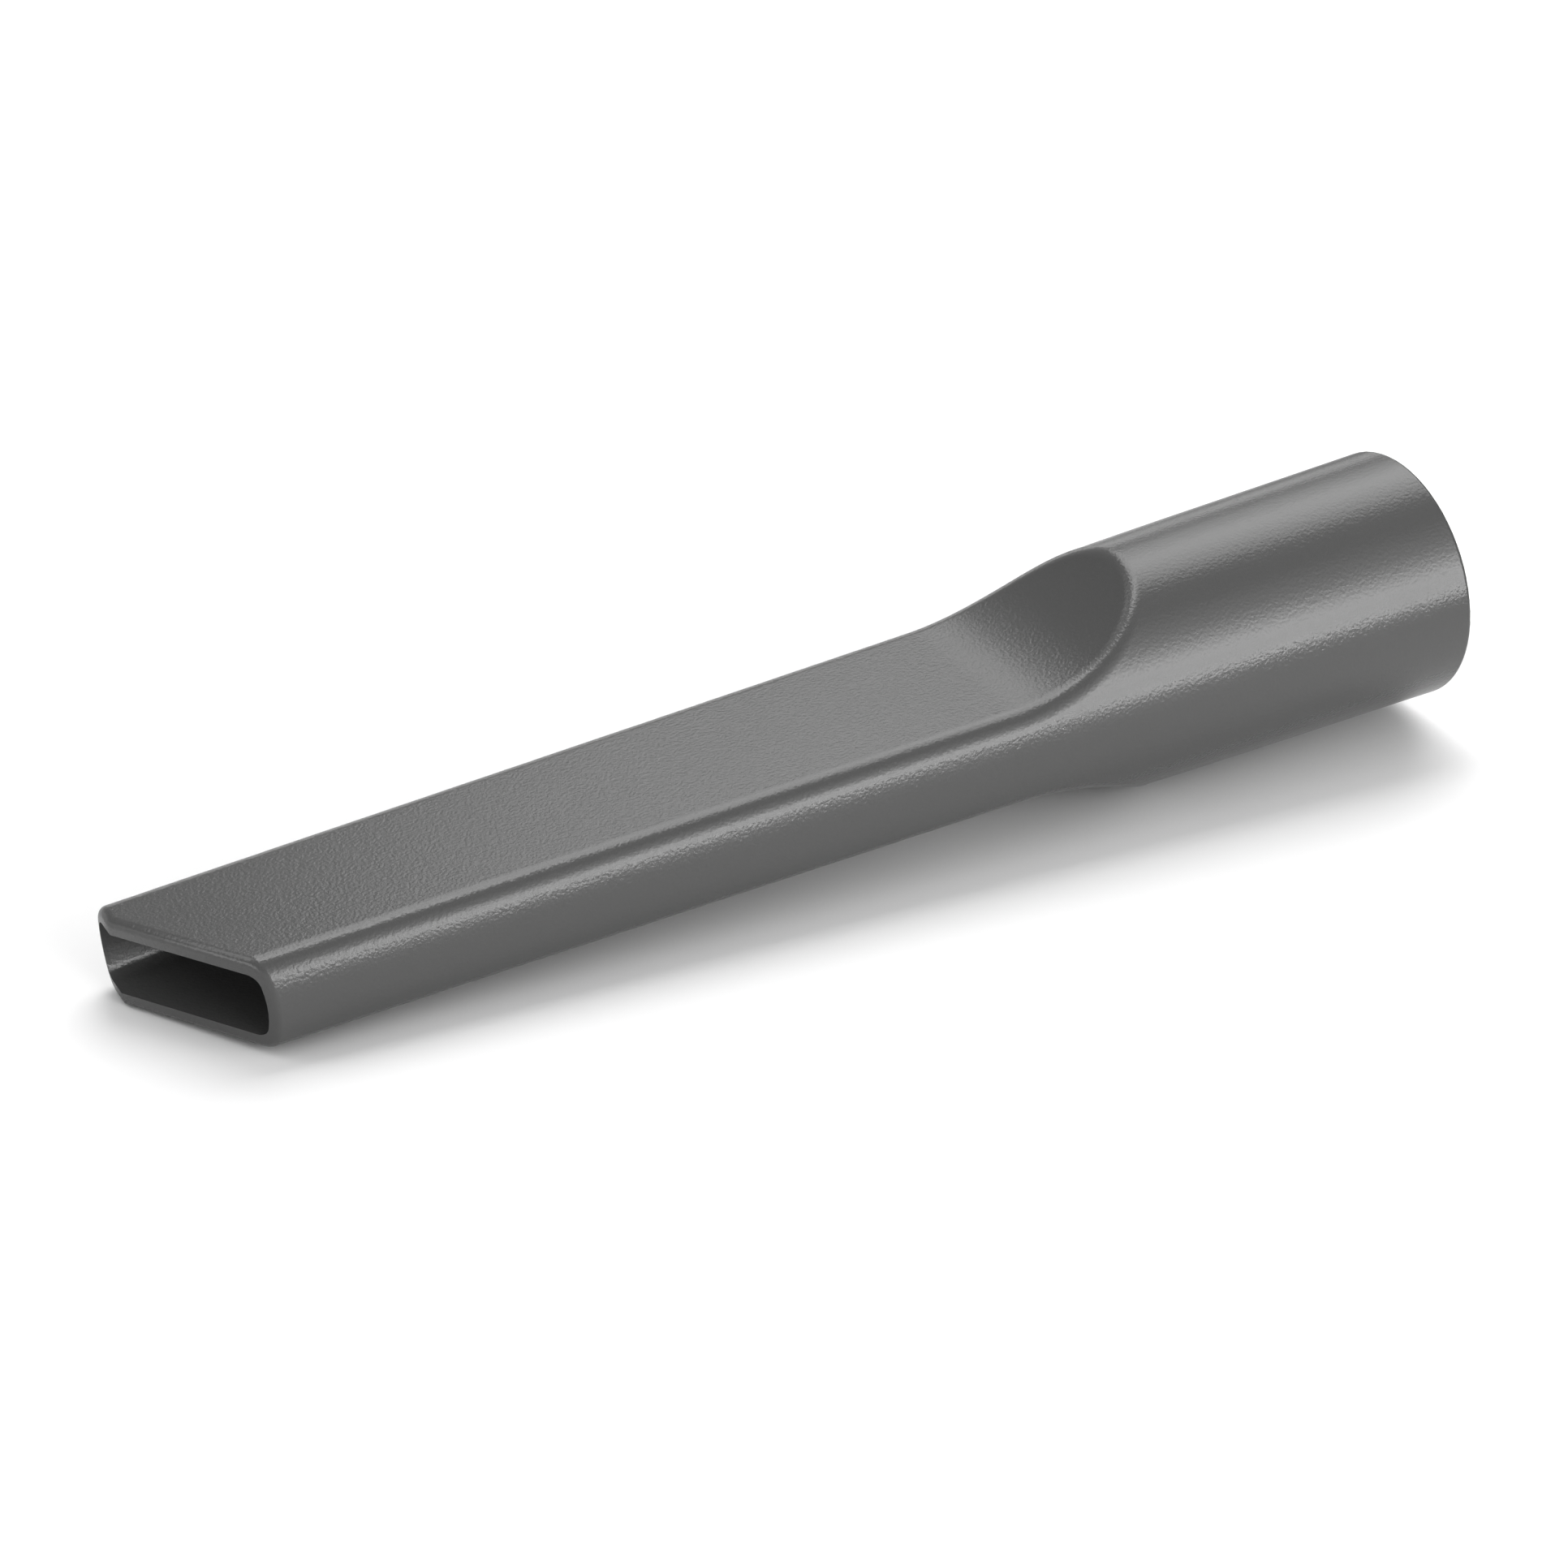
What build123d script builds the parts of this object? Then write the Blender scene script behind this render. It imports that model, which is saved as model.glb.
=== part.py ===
from build123d import *
import math
import os

os.makedirs("parts", exist_ok=True)

# Driving dimensions, millimetres and degrees
overall_length = 210.7
tube_diameter = 35.0
tube_clearance = 0.1
socket_depth = 36.0
socket_wall = 2.2
socket_lip_radius = 0.9
socket_draft = 1.0
nozzle_draft = 1.2
tip_height = 14.5
face_draft = 0.19
scoop_start = 79.6
scoop_radius = 39.7
scoop_turn = 75
shoulder_radius = 3.75
duct_side_wall = 2.0
duct_face_wall = 2.4
duct_corner_radius = 2.0
bevel_angle = 31.5
blunt_corner_offset = 8.4
tip_lip_radius = 1.3

# Sizes that follow from the driving dimensions
bore_radius = tube_diameter / 2 + tube_clearance
mouth_radius = bore_radius + socket_wall
tip_half_height = tip_height / 2
socket_taper = math.tan(math.radians(socket_draft))
cone_pitch = math.radians(nozzle_draft)
face_pitch = math.radians(face_draft)
bevel_slope = math.tan(math.radians(bevel_angle))
beyond = 2 * mouth_radius
far_end = overall_length + beyond

# Past the socket the skin narrows faster, while the duct keeps the socket's draft
neck_radius = mouth_radius - socket_depth * socket_taper
skin_far_radius = neck_radius - (far_end - socket_depth) * math.tan(cone_pitch)
duct_near_radius = neck_radius - duct_side_wall
duct_far_radius = duct_near_radius - (far_end - socket_depth) * socket_taper

# Seen from the side, the scoop is an arc that leaves the nozzle's flat face and runs out of the cone
scoop_z = tip_half_height + (overall_length - scoop_start) * math.tan(face_pitch)
scoop_centre_x = -scoop_start - scoop_radius * math.sin(face_pitch)
scoop_centre_z = scoop_z + scoop_radius * math.cos(face_pitch)

# The tool lies on two roundings: the lower scoop's shoulder and the lower lip of the tip
cone_under_centre = neck_radius + (scoop_centre_x + socket_depth) * math.tan(cone_pitch)
shoulder_drop = (scoop_centre_z - cone_under_centre) * math.cos(cone_pitch) + shoulder_radius
shoulder_run = math.sqrt((scoop_radius + shoulder_radius) ** 2 - shoulder_drop**2)
shoulder_x = scoop_centre_x + shoulder_drop * math.sin(cone_pitch) + shoulder_run * math.cos(cone_pitch)
shoulder_z = scoop_centre_z - shoulder_drop * math.cos(cone_pitch) + shoulder_run * math.sin(cone_pitch)
lip_x = tip_lip_radius - overall_length
lip_z = tip_half_height - tip_lip_radius * (1 - math.tan(face_pitch))
feet_apart = math.hypot(shoulder_x - lip_x, shoulder_z - lip_z)
rest_pitch = math.atan2(shoulder_z - lip_z, shoulder_x - lip_x)
rest_pitch += math.asin((shoulder_radius - tip_lip_radius) / feet_apart)
rest_cos = math.cos(rest_pitch)
rest_sin = math.sin(rest_pitch)
mouth_x = (overall_length * rest_cos - (mouth_radius - tip_half_height) * rest_sin) / 2
mouth_z = shoulder_radius + shoulder_z * rest_cos - shoulder_x * rest_sin

# The tool's own planes, through the centre of the socket's mouth: across it, from above and from its side
mouth = Plane(origin=(mouth_x, 0, mouth_z), x_dir=(0, 1, 0), z_dir=(rest_cos, 0, rest_sin))
top_view = Plane(origin=mouth.origin, x_dir=mouth.z_dir, z_dir=(-rest_sin, 0, rest_cos))
side_view = Plane(origin=mouth.origin, x_dir=mouth.z_dir, z_dir=(0, -1, 0))
tool_axis = Axis(mouth.origin, mouth.z_dir)


def pinched_cone(outline, inset, edge_radius):
    """A slender round cone, pinched by a scoop on each wide side, with the scoops set in by a wall."""
    start_x = outline[0][0]
    end_x = outline[-1][0]
    with BuildPart() as body:
        with BuildSketch(side_view):
            with BuildLine():
                Polyline((start_x, 0), *outline, (end_x, 0), close=True)
            make_face()
        revolve(axis=tool_axis)

        # Seen from the side, the nozzle's flat face runs into the scoop's arc
        with BuildSketch(side_view):
            with BuildLine():
                face_end = end_x - beyond
                face_end_z = scoop_z + (face_end + scoop_start) * math.tan(face_pitch)
                face = Line((face_end, face_end_z), (-scoop_start, scoop_z))
                scoop = JernArc(start=face @ 1, tangent=face % 1, radius=scoop_radius, arc_size=scoop_turn)
                Polyline(scoop @ 1, (face_end, (scoop @ 1).Y), face @ 0)
            make_face()
            offset(amount=inset, kind=Kind.INTERSECTION)
            mirror(about=Plane.XZ)
        extrude(amount=beyond, both=True, mode=Mode.SUBTRACT)

        # One rounding follows every edge that the scoops leave on the cone
        curved = body.edges().filter_by(GeomType.LINE, reverse=True)
        fillet(curved.filter_by(GeomType.CIRCLE, reverse=True), radius=edge_radius)
    return body.part


skin_outline = [(0, mouth_radius), (-socket_depth, neck_radius), (-far_end, skin_far_radius)]
duct_outline = [(-socket_depth, duct_near_radius), (-far_end, duct_far_radius)]
skin = pinched_cone(skin_outline, 0, shoulder_radius)
duct = pinched_cone(duct_outline, duct_face_wall, duct_corner_radius)

with BuildPart() as crevice_tool:
    add(skin)

    # The nozzle's mouth is bevelled in plan, with its long corner blunted
    with BuildSketch(top_view):
        with BuildLine():
            Polyline(
                (-overall_length, beyond),
                (-overall_length, blunt_corner_offset),
                (-overall_length + bevel_slope * (beyond + blunt_corner_offset), -beyond),
                (-overall_length - 2 * beyond, -beyond),
                (-overall_length - 2 * beyond, beyond),
                close=True,
            )
        make_face()
    extrude(amount=beyond, both=True, mode=Mode.SUBTRACT)

    # The outer edges round both mouths are eased
    upright = Axis(mouth.origin, top_view.z_dir)
    fillet(crevice_tool.edges(Select.LAST).filter_by(upright, reverse=True), radius=tip_lip_radius)
    fillet(crevice_tool.faces().sort_by(tool_axis)[-1].edges(), radius=socket_lip_radius)

    # The duct runs through the nozzle and ends in the bore that slides over the tube
    add(duct, mode=Mode.SUBTRACT)
    with BuildSketch(mouth):
        Circle(bore_radius)
    extrude(amount=-socket_depth, mode=Mode.SUBTRACT)

crevice_tool.part.label = "crevice_tool"
export_step(crevice_tool.part, "parts/crevice_tool.step")
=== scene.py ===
import math

import bmesh
import bpy
from mathutils import Matrix, Vector


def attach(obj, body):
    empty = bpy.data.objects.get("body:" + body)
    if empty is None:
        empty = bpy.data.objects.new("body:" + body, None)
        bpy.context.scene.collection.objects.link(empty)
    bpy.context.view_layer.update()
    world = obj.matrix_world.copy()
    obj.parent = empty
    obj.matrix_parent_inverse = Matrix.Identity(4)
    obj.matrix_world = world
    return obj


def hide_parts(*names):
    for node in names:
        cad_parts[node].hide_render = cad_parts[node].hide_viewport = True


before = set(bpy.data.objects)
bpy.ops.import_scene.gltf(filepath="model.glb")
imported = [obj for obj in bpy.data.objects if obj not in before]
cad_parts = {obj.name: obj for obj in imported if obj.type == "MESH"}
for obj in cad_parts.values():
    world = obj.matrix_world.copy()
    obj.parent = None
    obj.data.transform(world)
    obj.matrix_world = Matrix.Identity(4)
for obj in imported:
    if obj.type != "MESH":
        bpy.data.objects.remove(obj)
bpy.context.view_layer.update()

# Camera, metres and degrees: a long lens that looks down on the nozzle's mouth
camera_place = Vector((-0.22526, -0.42421, 0.27723))
camera_aim = Vector((0.40347, 0.77678, -0.48355))
camera_roll = 0.595
camera_lens = 85.05
camera_sensor = 36.0

# The moulding, metres and radians, along its own axis from the centre of the socket's mouth
mouth_centre = Vector((0.104611, 0.0, 0.022519))
tool_pitch = math.radians(4.185)
mouth_radius = 0.0198
socket_depth = 0.036
socket_draft = math.radians(1.0)
nozzle_draft = math.radians(1.2)
overall_length = 0.2107
tip_half_height = 0.00725
face_draft = math.radians(0.19)
scoop_start = 0.0796
scoop_radius = 0.0397
shoulder_radius = 0.00375

# How close a point lies to a skin that it is on, and how its shading is found
skin_depth = 0.000004
merge_distance = 0.000001
crease_angle = math.radians(35)
ball_steps = 5

# Moulded plastic
plastic_colour = (0.060, 0.060, 0.0595, 1.0)
plastic_roughness = 0.235
grain_size = 0.00048
grain_depth = 0.00005
grain_detail = 1.5
grain_roughness_swing = 0.05
cloud_size = 0.020
cloud_detail = 3.0
cloud_swing = 0.06
noise_middle = 0.5

# White paper floor
floor_size = 16.0
floor_colour = (0.80, 0.80, 0.80, 1.0)
# Painted reflection: the floor as the tool mirrors it is duller than it is, and near black past the
# socket
painted_dull_reflection_colour = (0.69, 0.69, 0.69, 1.0)
painted_dark_reflection_colour = (0.08, 0.08, 0.08, 1.0)
painted_dark_reflection_start = 0.13
painted_dark_reflection_end = 0.28
backdrop_colour = (0.92, 0.92, 0.92, 1.0)
backdrop_start = 0.30
backdrop_end = 0.80
# Painted contact shadow: the floor is drawn darker where the tool nearly touches it
painted_contact_shadow_colour = (0.48, 0.48, 0.48, 1.0)
painted_contact_shadow_reach = 0.02
painted_contact_shadow_open = 0.6

# Lamps, and the walls and ceiling behind them
near_reach = 1.2
far_reach = 2.4
softbox_left = 0.0
softbox_right = 1.4
lamp_height = 0.02
end_on = 0.9
panel_reach = 1.6
panel_height = math.radians(15)
panel_width = 1.0
panel_depth = 0.5
panel_watts = 3.4
wall_strength = 1.0
ceiling_strength = 0.36
ceiling_start = 0.20
ceiling_end = 0.36
right_wall_share = 0.1
right_wall_start = 0.50
right_wall_end = 0.85


def place_camera():
    data = bpy.data.cameras.new("camera")
    data.lens = camera_lens
    data.sensor_width = camera_sensor
    camera = bpy.data.objects.new("camera", data)
    bpy.context.scene.collection.objects.link(camera)
    camera.location = camera_place
    camera.rotation_euler = camera_aim.to_track_quat("-Z", "Y").to_euler()
    camera.rotation_euler.rotate_axis("Z", -math.radians(camera_roll))
    bpy.context.scene.camera = camera
    bpy.context.scene.view_settings.view_transform = "Standard"


def facing(place, target):
    # A lamp's own X lies level and along the tool, or across it for a lamp at the tool's end
    back = (Vector(place) - Vector(target)).normalized()
    along = Vector((1, 0, 0)) if abs(back.x) < end_on else Vector((0, 1, 0))
    along = (along - back * along.dot(back)).normalized()
    turn = Matrix((along, back.cross(along), back)).transposed().to_4x4()
    return Matrix.Translation(place) @ turn


def lamp(name, place, target, width, height, watts):
    data = bpy.data.lights.new(name, "AREA")
    data.shape = "RECTANGLE"
    data.size = width
    data.size_y = height
    data.energy = watts
    light = bpy.data.objects.new(name, data)
    bpy.context.scene.collection.objects.link(light)
    light.matrix_world = facing(place, target)
    light.visible_camera = False


def softbox(name, lowest, highest, watts, reach=near_reach, left=softbox_left, right=softbox_right):
    # A long box beside the tool, from one height to another in degrees: 0 is in front, 90 overhead
    middle = math.radians((lowest + highest) / 2)
    x = (left + right) / 2
    place = (x, -reach * math.cos(middle), reach * math.sin(middle) + lamp_height)
    height = 2 * reach * math.tan(math.radians(highest - lowest) / 2)
    lamp(name, place, (x, 0, lamp_height), right - left, height, watts)


def hang_lamps():
    softbox("front_kicker", 0, 5, 5.0)
    softbox("front_low", 5, 15, 3.7)
    softbox("front_middle", 15, 25, 6.3)
    softbox("front_high", 25, 35, 3.6)
    softbox("front_feather", 35, 45, 1.4)
    softbox("front_top", 45, 60, 0.9)
    softbox("overhead_left", 97, 109, 1.7, left=-0.1, right=0.24)
    softbox("overhead_feather", 96, 110, 3.5)
    softbox("overhead", 110, 125, 5.0)
    softbox("overhead_beyond_tip", 105, 125, 4.0, left=-1.6, right=-0.3)
    softbox("overhead_back", 125, 135, 3.2)
    softbox("back_card_near", 138, 148, 2.5, far_reach, left=0.43, right=1.1)
    softbox("back_card_far", 138, 148, 3.4, far_reach, left=1.1, right=2.5)
    softbox("back_low", 162, 176, 0.6)
    panel_place = (-panel_reach * math.cos(panel_height), 0, panel_reach * math.sin(panel_height))
    lamp("left_panel", panel_place, (0, 0, 0), panel_width, panel_depth, panel_watts)


def feed(tree, value, socket):
    # A value is either another node's output, or a plain number or colour
    if isinstance(value, bpy.types.NodeSocket):
        tree.links.new(value, socket)
    else:
        socket.default_value = value


def maths(tree, operation, first, second):
    node = tree.nodes.new("ShaderNodeMath")
    node.operation = operation
    feed(tree, first, node.inputs[0])
    feed(tree, second, node.inputs[1])
    return node.outputs["Value"]


def ramp(tree, value, start, end, start_value=0.0, end_value=1.0):
    node = tree.nodes.new("ShaderNodeMapRange")
    node.inputs["From Min"].default_value = start
    node.inputs["From Max"].default_value = end
    node.inputs["To Min"].default_value = start_value
    node.inputs["To Max"].default_value = end_value
    feed(tree, value, node.inputs["Value"])
    return node.outputs["Result"]


def blend(tree, share, first, second):
    node = tree.nodes.new("ShaderNodeMix")
    node.data_type = "RGBA"
    feed(tree, share, node.inputs["Factor"])
    feed(tree, first, node.inputs["A"])
    feed(tree, second, node.inputs["B"])
    return node.outputs["Result"]


def split(tree, vector):
    node = tree.nodes.new("ShaderNodeSeparateXYZ")
    feed(tree, vector, node.inputs["Vector"])
    return node.outputs


def paint_walls():
    # White walls under a dimmer ceiling, and a dimmer wall past the socket
    world = bpy.data.worlds.new("studio")
    bpy.context.scene.world = world
    world.use_nodes = True
    tree = world.node_tree
    direction = tree.nodes.new("ShaderNodeTexCoord")
    way = split(tree, direction.outputs["Generated"])
    ceiling = ramp(tree, way["Z"], ceiling_start, ceiling_end, wall_strength, ceiling_strength)
    right_wall = ramp(tree, way["X"], right_wall_start, right_wall_end, 1.0, right_wall_share)
    background = tree.nodes["Background"]
    feed(tree, (1, 1, 1, 1), background.inputs["Color"])
    feed(tree, maths(tree, "MULTIPLY", ceiling, right_wall), background.inputs["Strength"])


def lay_floor():
    bpy.ops.mesh.primitive_plane_add(size=floor_size, location=(0, 0, 0))
    floor = bpy.context.object
    floor.name = "floor"
    floor.data.materials.append(white_paper())


def white_paper():
    paper = bpy.data.materials.new("white_paper")
    paper.use_nodes = True
    tree = paper.node_tree
    path = tree.nodes.new("ShaderNodeLightPath")
    place = tree.nodes.new("ShaderNodeTexCoord")

    # Mirrored in the tool the paper is painted duller than where it lights it, and near black past the
    # socket: a painted darker reflection
    x = split(tree, place.outputs["Object"])["X"]
    painted_dark_reflection_mask = ramp(tree, x, painted_dark_reflection_start, painted_dark_reflection_end)
    mirrored = blend(tree, painted_dark_reflection_mask, painted_dull_reflection_colour, painted_dark_reflection_colour)
    unseen = blend(tree, path.outputs["Is Glossy Ray"], floor_colour, mirrored)

    # The camera sees it white, with a painted contact shadow that makes it darker where the tool nearly
    # touches it
    # Painted shade: ambient occlusion darkens the floor's colour near the tool
    contact = tree.nodes.new("ShaderNodeAmbientOcclusion")
    feed(tree, painted_contact_shadow_reach, contact.inputs["Distance"])
    gap = ramp(tree, contact.outputs["AO"], 0, painted_contact_shadow_open)
    seen = blend(tree, gap, painted_contact_shadow_colour, backdrop_colour)
    shader = tree.nodes["Principled BSDF"]
    feed(tree, 1.0, shader.inputs["Roughness"])
    feed(tree, 0.0, shader.inputs["Specular IOR Level"])
    feed(tree, blend(tree, path.outputs["Is Camera Ray"], unseen, seen), shader.inputs["Base Color"])

    # Away from the tool and its shadow the camera sees plain white
    away = tree.nodes.new("ShaderNodeVectorMath")
    away.operation = "LENGTH"
    feed(tree, place.outputs["Object"], away.inputs[0])
    backdrop = ramp(tree, away.outputs["Value"], backdrop_start, backdrop_end)
    white = tree.nodes.new("ShaderNodeEmission")
    surface = tree.nodes.new("ShaderNodeMixShader")
    feed(tree, maths(tree, "MULTIPLY", backdrop, path.outputs["Is Camera Ray"]), surface.inputs["Fac"])
    feed(tree, shader.outputs["BSDF"], surface.inputs[1])
    feed(tree, white.outputs["Emission"], surface.inputs[2])
    feed(tree, surface.outputs["Shader"], tree.nodes["Material Output"].inputs["Surface"])
    return paper


def moulded_grain():
    # The fine spark-eroded grain of the mould, and a slow cloudiness of the gloss over it
    group = bpy.data.node_groups.new("moulded_grain", "ShaderNodeTree")
    face = group.interface
    for name in ("Grain size", "Grain swing", "Cloud size", "Cloud swing", "Roughness"):
        face.new_socket(name, in_out="INPUT", socket_type="NodeSocketFloat")
    face.new_socket("Height", in_out="OUTPUT", socket_type="NodeSocketFloat")
    face.new_socket("Roughness", in_out="OUTPUT", socket_type="NodeSocketFloat")
    given = group.nodes.new("NodeGroupInput").outputs
    result = group.nodes.new("NodeGroupOutput").inputs
    place = group.nodes.new("ShaderNodeTexCoord")

    def noise(size, detail):
        texture = group.nodes.new("ShaderNodeTexNoise")
        feed(group, detail, texture.inputs["Detail"])
        feed(group, place.outputs["Object"], texture.inputs["Vector"])
        feed(group, maths(group, "DIVIDE", 1.0, size), texture.inputs["Scale"])
        return texture.outputs["Fac"]

    def swing(value, amount):
        return maths(group, "MULTIPLY", maths(group, "SUBTRACT", value, noise_middle), amount)

    grain = noise(given["Grain size"], grain_detail)
    cloud = noise(given["Cloud size"], cloud_detail)
    rough = maths(group, "ADD", given["Roughness"], swing(grain, given["Grain swing"]))
    rough = maths(group, "ADD", rough, swing(cloud, given["Cloud swing"]))
    feed(group, grain, result["Height"])
    feed(group, rough, result["Roughness"])
    return group


def moulded_plastic():
    plastic = bpy.data.materials.new("dark_grey_plastic")
    plastic.use_nodes = True
    tree = plastic.node_tree
    grain = tree.nodes.new("ShaderNodeGroup")
    grain.node_tree = moulded_grain()
    feed(tree, grain_size, grain.inputs["Grain size"])
    feed(tree, grain_roughness_swing, grain.inputs["Grain swing"])
    feed(tree, cloud_size, grain.inputs["Cloud size"])
    feed(tree, cloud_swing, grain.inputs["Cloud swing"])
    feed(tree, plastic_roughness, grain.inputs["Roughness"])
    bump = tree.nodes.new("ShaderNodeBump")
    feed(tree, grain_depth, bump.inputs["Distance"])
    feed(tree, grain.outputs["Height"], bump.inputs["Height"])
    shader = tree.nodes["Principled BSDF"]
    feed(tree, plastic_colour, shader.inputs["Base Color"])
    feed(tree, grain.outputs["Roughness"], shader.inputs["Roughness"])
    feed(tree, bump.outputs["Normal"], shader.inputs["Normal"])
    return plastic


def cone_gap(point):
    # How far a point stands off the round skin, and the way that this skin faces
    slope, radius = math.tan(socket_draft), mouth_radius + point.x * math.tan(socket_draft)
    if point.x < -socket_depth:
        slope = math.tan(nozzle_draft)
        radius = mouth_radius - socket_depth * math.tan(socket_draft) + (point.x + socket_depth) * slope
    out = math.hypot(point.y, point.z)
    way = Vector((-slope, point.y / out, point.z / out)).normalized()
    return (out - radius) * math.cos(math.atan(slope)), way


def pinch_gap(point):
    # The same for the flat face, or the scoop that follows it, on the point's own side
    side = math.copysign(1, point.z)
    slope = math.tan(face_draft)
    scoop_z = tip_half_height + (overall_length - scoop_start) * slope
    if point.x < -scoop_start:
        gap = abs(point.z) - scoop_z - (point.x + scoop_start) * slope
        return gap * math.cos(face_draft), Vector((-slope, 0, side)).normalized()
    rise = scoop_z + scoop_radius * math.cos(face_draft)
    centre = Vector((-scoop_start - scoop_radius * math.sin(face_draft), 0, side * rise))
    out = Vector((centre.x - point.x, 0, centre.z - point.z))
    return scoop_radius - out.length, out.normalized()


def shares(cone_part, pinch_part, overlap):
    # What each of two slanted directions adds up to, given how far it reaches along both
    square = 1 - overlap * overlap
    return (cone_part - overlap * pinch_part) / square, (pinch_part - overlap * cone_part) / square


def skin_direction(point):
    # The way the moulding's outside faces at a point, or nothing where the point isn't on it
    cone, cone_way = cone_gap(point)
    pinch, pinch_way = pinch_gap(point)
    if min(cone, pinch) > -shoulder_radius:
        # The shoulder is the path of a ball that touches both skins, so look for the ball's centre
        ball = point.copy()
        for _ in range(ball_steps):
            cone_out, ball_cone = cone_gap(ball)
            pinch_out, ball_pinch = pinch_gap(ball)
            overlap = ball_cone.dot(ball_pinch)
            step = shares(cone_out + shoulder_radius, pinch_out + shoulder_radius, overlap)
            ball -= ball_cone * step[0] + ball_pinch * step[1]
        spoke = point - ball
        if min(shares(spoke.dot(ball_cone), spoke.dot(ball_pinch), overlap)) > 0:
            return spoke.normalized() if abs(spoke.length - shoulder_radius) < skin_depth else None
    if abs(cone) < skin_depth:
        return cone_way
    return pinch_way if abs(pinch) < skin_depth else None


def merged_copy(node, name):
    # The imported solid's own mesh, with its loose triangles joined and smooth between its creases
    source = bmesh.new()
    source.from_mesh(node.data)
    bmesh.ops.remove_doubles(source, verts=source.verts, dist=merge_distance)
    source.verts.index_update()
    places = [vertex.co.copy() for vertex in source.verts]
    mesh = bpy.data.meshes.new(name)
    mesh.from_pydata(places, [], [[vertex.index for vertex in face.verts] for face in source.faces])
    source.free()
    mesh.shade_smooth()
    mesh.set_sharp_from_angle(angle=crease_angle)
    return mesh


def shade_by_skin(mesh):
    # Each corner on a skin or shoulder is shaded by the true direction there, the others as they are
    to_world = Matrix.Translation(mouth_centre) @ Matrix.Rotation(-tool_pitch, 4, "Y")
    to_tool = to_world.inverted()
    turn = to_world.to_3x3()
    ways = [skin_direction(to_tool @ vertex.co) for vertex in mesh.vertices]
    normals = [corner.vector.copy() for corner in mesh.corner_normals]
    for face in mesh.polygons:
        for corner in face.loop_indices:
            way = ways[mesh.loops[corner].vertex_index]
            if way and (turn @ way).angle(face.normal) < crease_angle:
                normals[corner] = turn @ way
    mesh.normals_split_custom_set(normals)


def true_moulding(node):
    mesh = merged_copy(node, "crevice_tool_moulding")
    shade_by_skin(mesh)
    mesh.materials.append(moulded_plastic())
    piece = bpy.data.objects.new("crevice_tool_moulding", mesh)
    bpy.context.scene.collection.objects.link(piece)
    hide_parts("crevice_tool")
    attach(piece, "root")


place_camera()
hang_lamps()
paint_walls()
lay_floor()
true_moulding(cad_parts["crevice_tool"])
